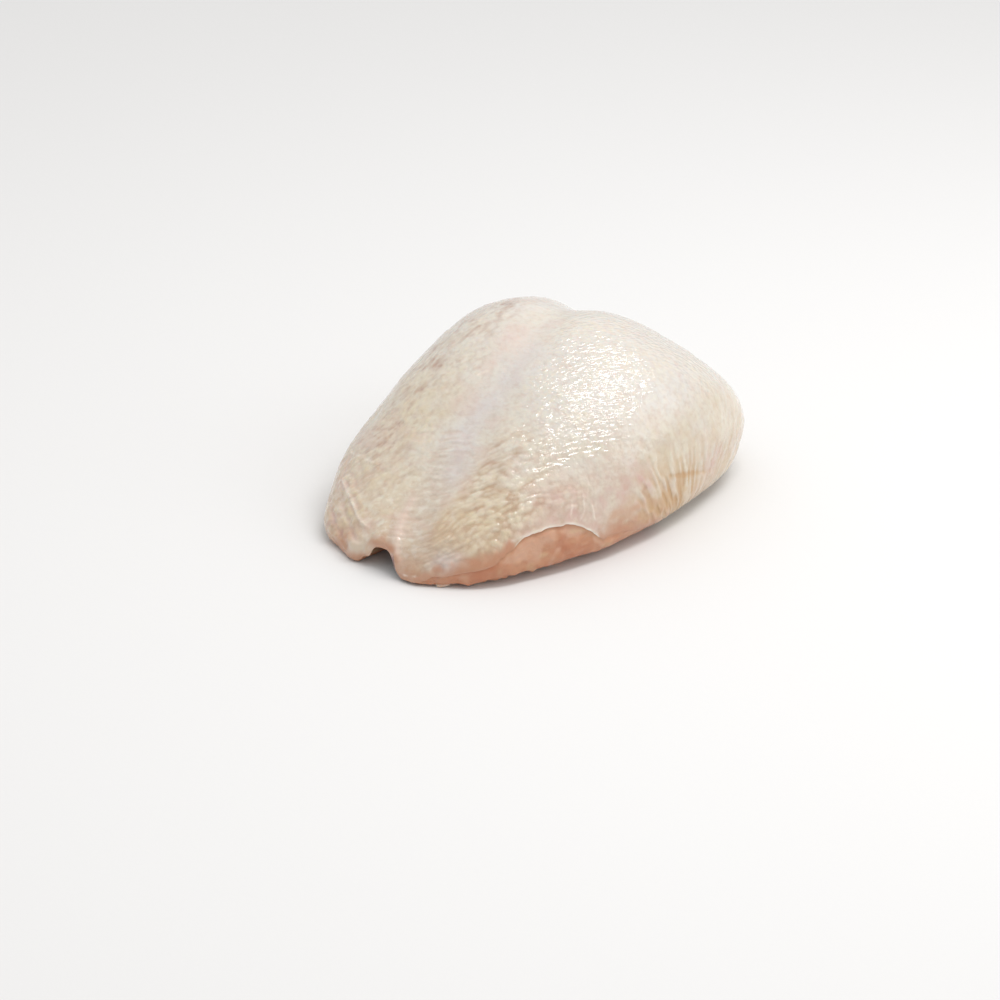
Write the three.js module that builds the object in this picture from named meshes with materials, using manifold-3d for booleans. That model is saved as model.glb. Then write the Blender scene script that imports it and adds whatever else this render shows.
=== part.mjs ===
// Raw boneless turkey breast with its skin on, both lobes in one piece. All sizes are in millimetres.
// The keel runs along Y: narrow tail tip at -Y, wide neck end at +Y, the cut side down on Z = 0.
import * as THREE from "three";
import { mergeVertices } from "three/addons/utils/BufferGeometryUtils.js";
import Module from "manifold-3d";

// Length along the keel, and how blunt the two ends are in plan (2 is an ellipse, more is blunter).
const LENGTH = 264.8;
const TAIL_BLUNTNESS = 3.2;
const NECK_BLUNTNESS = 2.3;

// Half widths and heights of the two lobes, as control values spaced evenly from tail to neck.
const RIGHT_WIDTH = [78.3, 64.3, 100.5, 107.2, 137.4];
const LEFT_WIDTH = [84.5, 101.6, 68.2, 87.1, 119.9];
const RIGHT_HEIGHT = [33.4, 77, 160.2, 93.2];
const LEFT_HEIGHT = [31.3, 72.6, 162.8, 88.5];

// How the height falls away to zero at each end.
const TAIL_HEIGHT_POWER = 0.343;
const NECK_HEIGHT_POWER = 0.528;

// Cross section: share of the height where it is widest, the powers of its upper curve, and
// the reach over which the height of one lobe passes into that of the other.
const WIDEST_SHARE = 0.28;
const TOP_SIDE_POWER = 0.85;
const TOP_RISE_POWER = 0.95;
const LOBE_BLEND = 22;

// Lower curve: it turns under the sides and is cut off flat where the meat lies on the table.
const UNDER_EDGE_POWER = 4.76;
const UNDER_ROUND_POWER = 0.275;
const UNDER_CUT = 1.12;

// Sideways bow of the whole piece, and the valley along the keel between the lobes.
const BOW = 3.2;
const BOW_TWIST = -14.6;
const VALLEY_DEPTH = [2.2, 2, -0.6, 18.2];
const VALLEY_HALF_WIDTH = 15.7;

// Local swells: [degrees from the tail tip, degrees round the keel, spread of each, rise].
const SWELLS = [
  [148, 22, 26, 32, 13.1], // plump right shoulder
  [150, -2, 20, 22, -4.7], // tuck below that shoulder
  [118, 32, 24, 30, 2.4], // right flank
  [76, -12, 22, 20, 2.2], // meat that bulges below the skin on the right
  [30, 178, 14, 26, 8.5], // left tail corner
  [60, 170, 22, 30, 7.1], // left side
  [125, 140, 22, 30, -4.6], // left flank near the neck
];

// Tail tips: [middle along X, half width, how far it stands out], fading over the tail reach.
const TAIL_TIPS = [
  [15, 13, 5.5], // right
  [-28, 9, 3.5], // left
];
const TAIL_REACH = 46;

// Hollow under the tail between the two tips: an arch that runs in under the meat and closes.
const HOLLOW_X = -8;
const HOLLOW_ROOF_HALF_WIDTH = 4;
const HOLLOW_HALF_WIDTH = 16.5;
const HOLLOW_HEIGHT = 13.5;
const HOLLOW_SKIN_TOP = 28;
const HOLLOW_REACH = 78;

// Edge of the skin low on the right side, with the bare meat set back below it. It starts low
// at the tail, rises between the first two places along Y, and runs out between the last two.
const SKIN_STEP = 1.5;
const SKIN_EDGE_LOW = 5;
const SKIN_EDGE_TOP = 30;
const SKIN_EDGE_RISE = [-135, -87];
const SKIN_EDGE_END = [-27, 12];
const SKIN_EDGE_BLEND = 6;

// Facets, colour and finish.
const DETAIL = 22;
const FLAT_TOLERANCE = 0.02;
const SKIN_COLOUR = 0xe3d7c4;
const SKIN_ROUGHNESS = 0.45;

// Smooth curve through evenly spaced control values, at t from 0 to 1.
function along(values, t) {
  let row = values.slice();
  while (row.length > 1) {
    row = row.slice(1).map((v, i) => row[i] * (1 - t) + v * t);
  }
  return row[0];
}

// Bell of height 1 and half width w.
function bell(d, w) {
  return Math.exp(-((d / w) ** 2));
}

// Smallest turn between two angles in degrees.
function turn(a, b) {
  return ((((a - b + 180) % 360) + 360) % 360) - 180;
}

// Sideways place of a point on a cross section.
function across(cos, sin, width) {
  return sin >= 0 ? width * Math.sign(cos) * Math.abs(cos) ** TOP_SIDE_POWER : width * cos;
}

// Height of a point on a cross section, above or below its widest level.
function up(cos, sin, height) {
  const mid = WIDEST_SHARE * height;
  if (sin >= 0) return mid + (height - mid) * sin ** TOP_RISE_POWER;
  const drop = (1 - Math.abs(cos) ** UNDER_EDGE_POWER) ** UNDER_ROUND_POWER;
  return mid * (1 - UNDER_CUT * drop);
}

// Surface point for a direction of the unit sphere.
function surface(dir) {
  const ring = Math.min(1, Math.hypot(dir.x, dir.z));
  const bluntness = dir.y < 0 ? TAIL_BLUNTNESS : NECK_BLUNTNESS;
  const reach = Math.sign(dir.y) * Math.sqrt(Math.max(0, 1 - ring ** bluntness));
  const t = (reach + 1) / 2;
  const cos = ring > 0 ? dir.x / ring : 1;
  const sin = ring > 0 ? dir.z / ring : 0;
  const fall = (1 + reach) ** TAIL_HEIGHT_POWER * (1 - reach) ** NECK_HEIGHT_POWER;
  const width = along(cos >= 0 ? RIGHT_WIDTH : LEFT_WIDTH, t) * ring;
  let x = across(cos, sin, width);
  const right = 0.5 + 0.5 * Math.tanh(x / LOBE_BLEND);
  const height = (along(LEFT_HEIGHT, t) * (1 - right) + along(RIGHT_HEIGHT, t) * right) * fall;
  const valley = along(VALLEY_DEPTH, t) * fall * bell(x, VALLEY_HALF_WIDTH);
  let z = up(cos, sin, height) - valley * Math.sqrt(Math.max(0, sin));

  // Swells, pushed out from the middle of the section.
  const polar = THREE.MathUtils.radToDeg(Math.acos(THREE.MathUtils.clamp(-dir.y, -1, 1)));
  const round = THREE.MathUtils.radToDeg(Math.atan2(dir.z, dir.x));
  let push = 0;
  for (const [along0, round0, alongSpread, roundSpread, rise] of SWELLS) {
    push += rise * bell(polar - along0, alongSpread) * bell(turn(round, round0), roundSpread);
  }
  let y = LENGTH * (t - 0.5);
  x += push * cos;
  z = Math.max(0, z + push * sin);

  // Edge of the skin and the bare meat below it.
  const risen = THREE.MathUtils.smoothstep(y, ...SKIN_EDGE_RISE);
  const ended = THREE.MathUtils.smoothstep(y, ...SKIN_EDGE_END);
  const edge = (SKIN_EDGE_LOW + (SKIN_EDGE_TOP - SKIN_EDGE_LOW) * risen) * (1 - ended);
  if (cos > 0 && z > 0) {
    x -= SKIN_STEP * THREE.MathUtils.smoothstep(edge - z, 0, SKIN_EDGE_BLEND);
  }

  // Tail tips.
  const fromTail = y + LENGTH / 2;
  const tail = 1 - THREE.MathUtils.smoothstep(fromTail, 0, TAIL_REACH);
  for (const [tipX, halfWidth, standOut] of TAIL_TIPS) {
    y -= tail * standOut * bell(x - tipX, halfWidth);
  }

  // The hollow lifts what is low between the tips and leaves the skin above it in place.
  const aside = Math.abs(x - HOLLOW_X);
  const arch = 1 - THREE.MathUtils.smoothstep(aside, HOLLOW_ROOF_HALF_WIDTH, HOLLOW_HALF_WIDTH);
  const inward = 1 - THREE.MathUtils.smoothstep(fromTail, 0, HOLLOW_REACH);
  z += HOLLOW_HEIGHT * arch * inward * Math.max(0, 1 - z / HOLLOW_SKIN_TOP);
  return [x + (BOW + BOW_TWIST * reach) * (1 - reach * reach), y, z];
}

// Closed skin of the whole piece, from a sphere of even triangles.
function breastGeometry() {
  const sphere = new THREE.IcosahedronGeometry(1, DETAIL);
  sphere.deleteAttribute("normal");
  sphere.deleteAttribute("uv");
  const merged = mergeVertices(sphere, 1e-5);
  const points = merged.getAttribute("position");
  const dir = new THREE.Vector3();
  for (let i = 0; i < points.count; i++) {
    dir.fromBufferAttribute(points, i).normalize();
    points.setXYZ(i, ...surface(dir));
  }
  merged.computeBoundingBox();
  const middle = merged.boundingBox.getCenter(new THREE.Vector3());
  merged.translate(-middle.x, -middle.y, -merged.boundingBox.min.z);
  return merged;
}

// The same shape with the flat parts of the underside joined into large faces.
async function asSolid(geometry) {
  const wasm = await Module();
  wasm.setup();
  const solid = new wasm.Manifold(
    new wasm.Mesh({
      numProp: 3,
      vertProperties: new Float32Array(geometry.getAttribute("position").array),
      triVerts: new Uint32Array(geometry.index.array),
    }),
  ).simplify(FLAT_TOLERANCE);
  const mesh = solid.getMesh();
  const out = new THREE.BufferGeometry();
  out.setAttribute("position", new THREE.BufferAttribute(mesh.vertProperties, mesh.numProp));
  out.setIndex(new THREE.BufferAttribute(mesh.triVerts, 1));
  out.computeVertexNormals();
  return out;
}

const breast = new THREE.Mesh(
  await asSolid(breastGeometry()),
  new THREE.MeshStandardMaterial({
    color: SKIN_COLOUR,
    roughness: SKIN_ROUGHNESS,
    metalness: 0,
  }),
);
breast.name = "turkey_breast";

const part = new THREE.Group();
part.add(breast);
export default part;
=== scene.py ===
"""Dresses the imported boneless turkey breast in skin, bare meat and trimmings, in a plain studio.

Lengths are in millimetres until a mesh is made, and in metres from there. The keel runs along Y,
with the tail at -Y and the neck at +Y, the right lobe is at +X, and the cut side lies on Z = 0.
"""

import functools
import math

import bmesh
import bpy
import numpy as np
from bpy.props import FloatProperty, FloatVectorProperty, PointerProperty
from mathutils import Matrix, Vector


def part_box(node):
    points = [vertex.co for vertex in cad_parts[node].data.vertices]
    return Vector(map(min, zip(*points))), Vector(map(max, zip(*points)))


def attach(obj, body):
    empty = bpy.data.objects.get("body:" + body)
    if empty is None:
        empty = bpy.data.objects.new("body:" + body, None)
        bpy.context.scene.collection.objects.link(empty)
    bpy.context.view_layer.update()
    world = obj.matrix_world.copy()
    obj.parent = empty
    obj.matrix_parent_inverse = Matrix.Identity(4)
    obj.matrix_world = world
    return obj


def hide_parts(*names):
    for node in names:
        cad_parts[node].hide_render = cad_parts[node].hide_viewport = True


bl_info = {
    "name": "Boneless Turkey Breast",
    "version": (1, 0, 0),
    "blender": (4, 5, 0),
    "location": "View3D > Sidebar > Turkey Breast",
    "description": "Dresses the packed turkey breast in skin, bare meat and trimmings",
    "category": "Object",
}

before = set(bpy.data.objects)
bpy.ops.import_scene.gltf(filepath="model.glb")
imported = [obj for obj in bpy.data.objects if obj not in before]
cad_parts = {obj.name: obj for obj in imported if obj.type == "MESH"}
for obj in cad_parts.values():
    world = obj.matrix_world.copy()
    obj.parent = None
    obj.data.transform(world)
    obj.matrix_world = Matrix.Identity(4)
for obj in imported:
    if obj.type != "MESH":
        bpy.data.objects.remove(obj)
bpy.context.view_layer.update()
NODE = "turkey_breast"
BODY = "root"
MM = 0.001
TURN = 2 * math.pi
TINY = 1e-9  # keeps a divisor off 0

# The form of the solid: the same named sizes as the part's source.
LENGTH = 264.8
TAIL_BLUNTNESS = 3.2
NECK_BLUNTNESS = 2.3
RIGHT_WIDTH = (78.3, 64.3, 100.5, 107.2, 137.4)
LEFT_WIDTH = (84.5, 101.6, 68.2, 87.1, 119.9)
RIGHT_HEIGHT = (33.4, 77, 160.2, 93.2)
LEFT_HEIGHT = (31.3, 72.6, 162.8, 88.5)
TAIL_HEIGHT_POWER = 0.343
NECK_HEIGHT_POWER = 0.528
WIDEST_SHARE = 0.28
TOP_SIDE_POWER = 0.85
TOP_RISE_POWER = 0.95
LOBE_BLEND = 22
UNDER_EDGE_POWER = 4.76
UNDER_ROUND_POWER = 0.275
UNDER_CUT = 1.12
BOW = 3.2
BOW_TWIST = -14.6
VALLEY_DEPTH = (2.2, 2, -0.6, 18.2)
VALLEY_HALF_WIDTH = 15.7
SWELLS = (  # degrees from the tail tip, degrees round the keel, spread of each, rise
    (148, 22, 26, 32, 13.1),
    (150, -2, 20, 22, -4.7),
    (118, 32, 24, 30, 2.4),
    (76, -12, 22, 20, 2.2),
    (30, 178, 14, 26, 8.5),
    (60, 170, 22, 30, 7.1),
    (125, 140, 22, 30, -4.6),
)
TAIL_TIPS = ((15, 13, 5.5), (-28, 9, 3.5))  # middle along X, half width, how far it stands out
TAIL_REACH = 46
HOLLOW_X = -8
HOLLOW_ROOF_HALF_WIDTH = 4
HOLLOW_HALF_WIDTH = 16.5
HOLLOW_HEIGHT = 13.5
HOLLOW_SKIN_TOP = 28
HOLLOW_REACH = 78

# Where the skin ends: on the right at a height above the table, elsewhere tucked in under the
# piece. Each pair is the start and the end of a change.
RIGHT_EDGE = (  # place along Y, height
    (-134.5, 2.5), (-130, 6), (-125, 8.4), (-119, 10.7), (-113.5, 12.9), (-107, 16), (-100, 21),
    (-96, 24.6), (-92, 27), (-86, 29.3), (-80, 30.2), (-75, 30.7), (-70, 30.2), (-65, 28.6),
    (-60, 26), (-54, 21), (-50, 16), (-47.5, 13.5), (-44.5, 15.5), (-38, 15.2), (-26, 13),
    (-16, 10.5), (-8, 7.5), (2, 3), (12, 0),
)
RIGHT_START = (8, 20)  # along X
TUCK = 9
TUCK_START_RIGHT = (-5, 35)  # along Y
TUCK_START_LEFT = (-122, -95)
TUCK_SIDES = (-15, 15)  # along X, from the left one to the right one


# --- numbers and noise


SCATTER = (374761393, 668265263, 922337203)  # large odd factors for the places along the axes
SCATTER_SEED = 144665
SCATTER_AGAIN = 1274126177
LAST_32_BITS = 0xFFFFFFFF
LAST_16_BITS = 0xFFFF
ROW_HEIGHT = 0.87  # of a lattice with offset rows, as a share of its spacing


def along(values, t):
    """Smooth curve through evenly spaced control values, at t from 0 to 1."""
    row = [np.full_like(t, v) for v in values]
    while len(row) > 1:
        row = [a * (1 - t) + b * t for a, b in zip(row, row[1:])]
    return row[0]


def bell(d, width):
    """Bell of height 1 and that half width."""
    return np.exp(-((d / width) ** 2))


def ramp(x, low, high):
    """Smooth step from 0 at low to 1 at high."""
    s = np.clip((x - low) / (high - low), 0, 1)
    return s * s * (3 - 2 * s)


def fade(x, low, high):
    """Smooth step from 1 at low to 0 at high."""
    return 1 - ramp(x, low, high)


def between(x, start, full, last, end):
    """1 from full to last, and 0 before start and after end."""
    return ramp(x, start, full) * fade(x, last, end)


def turned(a, b):
    """Smallest turn from angle b to angle a, in degrees."""
    return (a - b + 180) % 360 - 180


def unit(v):
    """Vectors of length 1 along v."""
    return v / np.maximum(np.linalg.norm(v, axis=-1, keepdims=True), TINY)


def run_along(points, axis=0):
    """Lengths from the first point to each one, along an axis of a table of points."""
    steps = np.linalg.norm(np.diff(points, axis=axis), axis=-1)
    return np.insert(np.cumsum(steps, axis), 0, 0, axis)


def shares(length, spacing):
    """A column of even shares of a length, from the first one to 1."""
    count = round(length / spacing)
    return (np.arange(1, count + 1) / count)[:, None]


def chance(cells, seed):
    """A repeatable random number from 0 to 1 for each whole-numbered cell."""
    n = seed * SCATTER_SEED
    for column, factor in zip(np.moveaxis(cells, -1, 0), SCATTER):
        n = n + column * factor
    n = n & LAST_32_BITS
    n = ((n ^ (n >> 13)) * SCATTER_AGAIN) & LAST_32_BITS
    return ((n ^ (n >> 16)) & LAST_16_BITS) / LAST_16_BITS


def noise(p, size, seed=0):
    """Smooth noise from -1 to 1 that changes over size, which may differ from axis to axis."""
    p = np.asarray(p) / size
    base = np.floor(p).astype(np.int64)
    f = p - base
    f = f * f * f * (f * (6 * f - 15) + 10)
    total = 0
    for corner in range(2 ** p.shape[-1]):
        step = np.array([(corner >> k) & 1 for k in range(p.shape[-1])])
        weight = np.prod(np.where(step, f, 1 - f), axis=-1)
        total = total + weight * chance(base + step, seed)
    return total * 2 - 1


def plane_noise(u, v, size, seed):
    """Noise for places with two coordinates."""
    return noise(np.stack([u, v], 1), size, seed)


def dimples(u, v, jitter, seed):
    """Distance to the nearest point of a loose lattice with offset rows, and that point's luck."""
    nearest = np.full(u.shape, 9.0)
    luck = np.zeros(u.shape)
    row0 = np.floor(v)
    for dv in (-1, 0, 1):
        row = row0 + dv
        shift = np.mod(row, 2) / 2
        column0 = np.floor(u - shift)
        for du in (-1, 0, 1):
            column = column0 + du
            cell = np.stack([column, row], -1).astype(np.int64)
            x = column + shift + 0.5 + jitter * (chance(cell, seed) - 0.5)
            y = row + 0.5 + jitter * (chance(cell, seed + 1) - 0.5)
            d = np.hypot(u - x, (v - y) * ROW_HEIGHT)
            luck = np.where(d < nearest, chance(cell, seed + 2), luck)
            nearest = np.minimum(nearest, d)
    return nearest, luck


def line_distance(p, points):
    """Distance from each point to a broken line."""
    points = np.asarray(points, float)
    best = np.full(len(p), 1e9)
    for a, b in zip(points, points[1:]):
        s = np.clip((p - a) @ (b - a) / np.sum((b - a) ** 2), 0, 1)
        best = np.minimum(best, np.linalg.norm(p - a - s[:, None] * (b - a), axis=1))
    return best


# --- the form


def form(d):
    """Surface points for directions d, not yet centred, and their heights without the hollow."""
    ring = np.minimum(1, np.hypot(d[..., 0], d[..., 2]))
    safe = np.maximum(ring, TINY)
    cos = np.where(ring > TINY, d[..., 0] / safe, 1)
    sin = np.where(ring > TINY, d[..., 2] / safe, 0)
    bluntness = np.where(d[..., 1] < 0, TAIL_BLUNTNESS, NECK_BLUNTNESS)
    reach = np.sign(d[..., 1]) * np.sqrt(np.maximum(0, 1 - ring**bluntness))
    t = (reach + 1) / 2
    fall = (1 + reach) ** TAIL_HEIGHT_POWER * (1 - reach) ** NECK_HEIGHT_POWER
    width = np.where(cos >= 0, along(RIGHT_WIDTH, t), along(LEFT_WIDTH, t)) * ring
    x = np.where(sin >= 0, width * np.sign(cos) * np.abs(cos) ** TOP_SIDE_POWER, width * cos)
    right = 0.5 + 0.5 * np.tanh(x / LOBE_BLEND)
    height = (along(LEFT_HEIGHT, t) * (1 - right) + along(RIGHT_HEIGHT, t) * right) * fall
    middle = WIDEST_SHARE * height
    upper = np.maximum(0, sin)
    top = middle + (height - middle) * upper**TOP_RISE_POWER
    drop = (1 - np.abs(cos) ** UNDER_EDGE_POWER) ** UNDER_ROUND_POWER
    z = np.where(sin >= 0, top, middle * (1 - UNDER_CUT * drop))
    z = z - along(VALLEY_DEPTH, t) * fall * bell(x, VALLEY_HALF_WIDTH) * np.sqrt(upper)

    polar = np.degrees(np.arccos(np.clip(-d[..., 1], -1, 1)))
    round_keel = np.degrees(np.arctan2(d[..., 2], d[..., 0]))
    push = 0
    for along0, round0, along_spread, round_spread, rise in SWELLS:
        aside = bell(turned(round_keel, round0), round_spread)
        push = push + rise * bell(polar - along0, along_spread) * aside
    y = LENGTH * (t - 0.5)
    x = x + push * cos
    z = np.maximum(0, z + push * sin)

    from_tail = y + LENGTH / 2
    tail = fade(from_tail, 0, TAIL_REACH)
    for tip_x, half_width, stand_out in TAIL_TIPS:
        y = y - tail * stand_out * bell(x - tip_x, half_width)
    arch = fade(np.abs(x - HOLLOW_X), HOLLOW_ROOF_HALF_WIDTH, HOLLOW_HALF_WIDTH)
    inward = fade(from_tail, 0, HOLLOW_REACH)
    lifted = z + HOLLOW_HEIGHT * arch * inward * np.maximum(0, 1 - z / HOLLOW_SKIN_TOP)
    x = x + (BOW + BOW_TWIST * reach) * (1 - reach * reach)
    return np.stack([x, y, lifted], -1), z


def direction(down, azimuth):
    """Unit directions from the angle down from the top and the azimuth, in radians."""
    side = np.sin(down)
    return np.stack([side * np.cos(azimuth), side * np.sin(azimuth), np.cos(down)], -1)


def skin_edge(p):
    """Height at which the skin ends at points p, or less than 0 by how far it tucks under."""
    x, y = p[..., 0], p[..., 1]
    side = np.interp(y, *np.transpose(RIGHT_EDGE)) + 0.8 * noise(p, 5, 1) + 0.5 * noise(p, 1.8, 7)
    right = ramp(x, *RIGHT_START)
    share = ramp(x, *TUCK_SIDES)
    tucked = ramp(y, *TUCK_START_RIGHT) * share + ramp(y, *TUCK_START_LEFT) * (1 - share)
    return side * right + 1 - right - TUCK * tucked


class Chart:
    """Paths from the top of the form down to the middle of its underside, one per azimuth."""

    STEPS_DOWN = 720
    STEPS_ROUND = 720
    CONTACT = 0.02  # height at which a path reaches the table
    CROWN = 0.6  # angle down from the top, in radians, within which no skin ends
    STEP = 0.4  # along a path and round the piece, to find normals
    SWING = 0.004
    NECK_END = 125

    def __init__(self):
        low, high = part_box(NODE)
        self.down = np.linspace(0, math.pi, self.STEPS_DOWN + 1)
        self.azimuth = np.linspace(0, TURN, self.STEPS_ROUND + 1)
        points, flat = form(direction(*np.meshgrid(self.down, self.azimuth, indexing="ij")))
        box_low, box_high = points.min((0, 1)), points.max((0, 1))
        self.shift = (np.array(low) + np.array(high)) / 2 / MM - (box_low + box_high) / 2
        self.shift[2] = -box_low[2]
        points = points + self.shift
        self.path = run_along(points)
        self.whole = self.path[-1]

        def at(table, row):
            return np.take_along_axis(table, row[None], 0)[0]

        # The level is the height above the table, then less than 0 by how far in under the piece.
        self.contact = at(self.path, np.argmax(flat < self.CONTACT, axis=0))
        level = np.where(flat >= self.CONTACT, flat, self.contact - self.path)
        above = level - skin_edge(points)
        first = np.argmax((above < 0) & (self.down > self.CROWN)[:, None], axis=0)
        before, after = at(above, first - 1), at(above, first)
        start = at(self.path, first - 1)
        share = before / np.maximum(before - after, TINY)
        self.rim = start + (at(self.path, first) - start) * share

    def directions(self, distance, azimuth):
        """Directions of the points at that distance down their paths."""
        column = np.mod(azimuth, TURN) / TURN * self.STEPS_ROUND
        left = np.minimum(column.astype(int), self.STEPS_ROUND - 1)
        share = column - left
        down = []
        for side in (left, left + 1):
            found = np.empty(distance.shape)
            for k in np.unique(side):
                here = side == k
                found[here] = np.interp(distance[here], self.path[:, k], self.down)
            down.append(found)
        return direction(down[0] * (1 - share) + down[1] * share, azimuth)

    def place(self, directions):
        """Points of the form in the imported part's frame."""
        return form(directions)[0] + self.shift

    def points(self, distance, azimuth):
        """Points at that distance down their paths."""
        return self.place(self.directions(distance, azimuth))

    def normals(self, distance, azimuth):
        """Outward normals of the form at those distances down their paths."""
        above = self.points(np.maximum(distance - self.STEP, 0), azimuth)
        down = self.points(distance + self.STEP, azimuth) - above
        back = self.points(distance, azimuth - self.SWING)
        normals = unit(np.cross(down, self.points(distance, azimuth + self.SWING) - back))
        # Beside the form's pole at the neck end the steps cross it, and the normals face inward.
        inward = (self.points(distance, azimuth)[:, 1] > self.NECK_END) & (normals[:, 1] < 0)
        return np.where(inward[:, None], -normals, normals)

    def ends(self):
        """The top point of all the paths and the middle point of the underside."""
        return self.place(np.array([[0.0, 0, 1], [0, 0, -1]]))


class Laid:
    """Nested rings of points on the form: row k holds how far down each path ring k lies."""

    LEAST_IN_RING = 6

    def __init__(self, chart, rows, spacing):
        self.azimuths = []
        distances = []
        for k, row in enumerate(rows):
            run = run_along(chart.points(row, chart.azimuth))
            count = max(self.LEAST_IN_RING, round(run[-1] / spacing))
            places = (np.arange(count) + 0.5 * (k % 2)) / count * run[-1]
            ring = np.interp(places, run, chart.azimuth)
            self.azimuths.append(ring)
            distances.append(np.interp(ring, chart.azimuth, row))
        self.azimuth = np.concatenate(self.azimuths)
        self.distance = np.concatenate(distances)
        self.directions = chart.directions(self.distance, self.azimuth)
        self.points = chart.place(self.directions)
        self.normals = chart.normals(self.distance, self.azimuth)
        self.past_rim = self.distance - np.interp(self.azimuth, chart.azimuth, chart.rim)
        self.past_contact = self.distance - np.interp(self.azimuth, chart.azimuth, chart.contact)


class Spread:
    """Distances over the surface across the keel and along it, to lay the pattern out evenly."""

    STEPS_ALONG = 180
    STEPS_ROUND = 360

    def __init__(self):
        polar = np.linspace(0, math.pi, self.STEPS_ALONG + 1)
        round_keel = np.linspace(-math.pi / 2, 1.5 * math.pi, self.STEPS_ROUND + 1)
        theta, phi = np.meshgrid(polar, round_keel, indexing="ij")
        side = np.sin(theta)
        points = form(np.stack([side * np.cos(phi), -np.cos(theta), side * np.sin(phi)], -1))[0]
        across = run_along(points, 1)
        self.across = across[:, self.STEPS_ROUND // 2][:, None] - across
        lengthwise = run_along(points)
        self.lengthwise = lengthwise - lengthwise[self.STEPS_ALONG // 2]

    def at(self, d):
        """Distance to the right of the keel and distance towards the neck for directions d."""
        theta = np.arccos(np.clip(-d[:, 1], -1, 1)) / math.pi * self.STEPS_ALONG
        phi = np.arctan2(d[:, 2], d[:, 0]) + math.pi / 2
        phi = np.mod(phi, TURN) / TURN * self.STEPS_ROUND
        i = np.minimum(theta.astype(int), self.STEPS_ALONG - 1)
        j = np.minimum(phi.astype(int), self.STEPS_ROUND - 1)
        s, t = theta - i, phi - j
        found = []
        for table in (self.across, self.lengthwise):
            low = table[i, j] * (1 - t) + table[i, j + 1] * t
            high = table[i + 1, j] * (1 - t) + table[i + 1, j + 1] * t
            found.append(low * (1 - s) + high * s)
        return found


# --- meshes


def zip_rings(first, a, second, b):
    """Triangles between a ring at azimuths a and the next one out at azimuths b."""
    a_middle = (a + np.append(a[1:], a[0] + TURN)) / 2
    b_middle = (b + np.append(b[1:], b[0] + TURN)) / 2
    i, j = np.arange(len(a)), np.arange(len(b))
    facing = np.searchsorted(b_middle, a_middle, side="left") % len(b)
    behind = np.searchsorted(a_middle, b_middle, side="right") % len(a)
    out = np.stack([first + i, second + facing, first + (i + 1) % len(a)], 1)
    back = np.stack([first + behind, second + j, second + (j + 1) % len(b)], 1)
    return np.concatenate([out, back])


def fan(centre, first, count):
    """Triangles between one point and the ring round it."""
    j = np.arange(count)
    return np.stack([np.full(count, centre), first + j, first + (j + 1) % count], 1)


def sheet_of(rings):
    """Triangles of nested rings whose points follow each other."""
    starts = np.cumsum([0] + [len(ring) for ring in rings])
    zipped = zip(starts, rings, starts[1:], rings[1:])
    return np.concatenate([zip_rings(*pair) for pair in zipped])


def whole_masks(masks, count, centre):
    """Masks for all the points: 0 past the last value, and the first value in the centre."""
    whole = {name: np.pad(values, (0, count - len(values))) for name, values in masks.items()}
    for values in whole.values():
        values[centre] = values[0]
    return whole


def make_piece(name, points, faces, masks, material):
    """A smooth mesh piece from points in millimetres, with a float attribute for each mask."""
    mesh = bpy.data.meshes.new(name)
    mesh.vertices.add(len(points))
    mesh.vertices.foreach_set("co", (points * MM).astype(np.float32).ravel())
    mesh.loops.add(faces.size)
    mesh.loops.foreach_set("vertex_index", faces.astype(np.int32).ravel())
    mesh.polygons.add(len(faces))
    mesh.polygons.foreach_set("loop_start", np.arange(0, faces.size, 3, dtype=np.int32))
    mesh.polygons.foreach_set("use_smooth", np.ones(len(faces), bool))
    mesh.update(calc_edges=True)
    mesh.validate()
    for mask, values in masks.items():
        attribute = mesh.attributes.new(mask, "FLOAT", "POINT")
        attribute.data.foreach_set("value", values.astype(np.float32))
    mesh.materials.append(material)
    piece = bpy.data.objects.new(name, mesh)
    bpy.context.scene.collection.objects.link(piece)
    return piece


# --- places on the piece


KEEL = (
    (-19.5, 36.7, 102.6), (-6.6, -0.4, 100.2), (-3.8, -20.7, 92.6), (-1.8, -40.4, 81.7),
    (-2.7, -55.7, 71.5), (-3.6, -69.9, 61), (-2, -85.6, 48.9), (-1.4, -98.8, 38.7),
    (-1.9, -112.4, 28.3), (-0.4, -125.7, 18.7), (-1.2, -132, 10.4),
)
LAVENDER_STREAK = (
    (1.9, -12.9, 96.4), (2.3, -36.4, 84.5), (-1.6, -55.4, 71.7), (-3.6, -69.9, 61),
    (3.9, -87.1, 48.1),
)
TAIL_STREAK = (
    (-13.3, -104.2, 34), (-13.6, -110.5, 28.9), (-11.2, -118.4, 24.8), (-7.5, -126.4, 19.8),
    (-5.3, -130.2, 14.6), (-1.9, -132, 10.1),
)
TAIL_RED_STREAK = (
    (-18.7, -113.9, 26.8), (-15.7, -119.9, 23.9), (-12.3, -125.5, 21.1), (-10, -129.6, 17.3),
)
RED_HAIRLINE = ((86.3, -16.4, 37.1), (86, -19, 34.9), (87.6, -14.6, 30.4))
SPOT_BAND = (
    (-42.6, 13.4, 100.1), (-47.9, 0.6, 94.9), (-49.5, -12.1, 89.4), (-52.4, -22.9, 82.9),
    (-54.9, -34.4, 75.6), (-55.6, -46.1, 68.2), (-54.9, -58.7, 60.5), (-53.8, -71.9, 51.9),
    (-51.8, -82.3, 45.1),
)
TAIL_RIDGE = (
    (-66.7, -97.6, 27.4), (-62.3, -101.6, 26.5), (-57, -105.7, 25.4), (-51.4, -109.5, 24.2),
    (-46.7, -113, 22.7), (-41.4, -117.2, 21), (-35.7, -121.1, 20), (-30.8, -122.9, 19.1),
)
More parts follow.
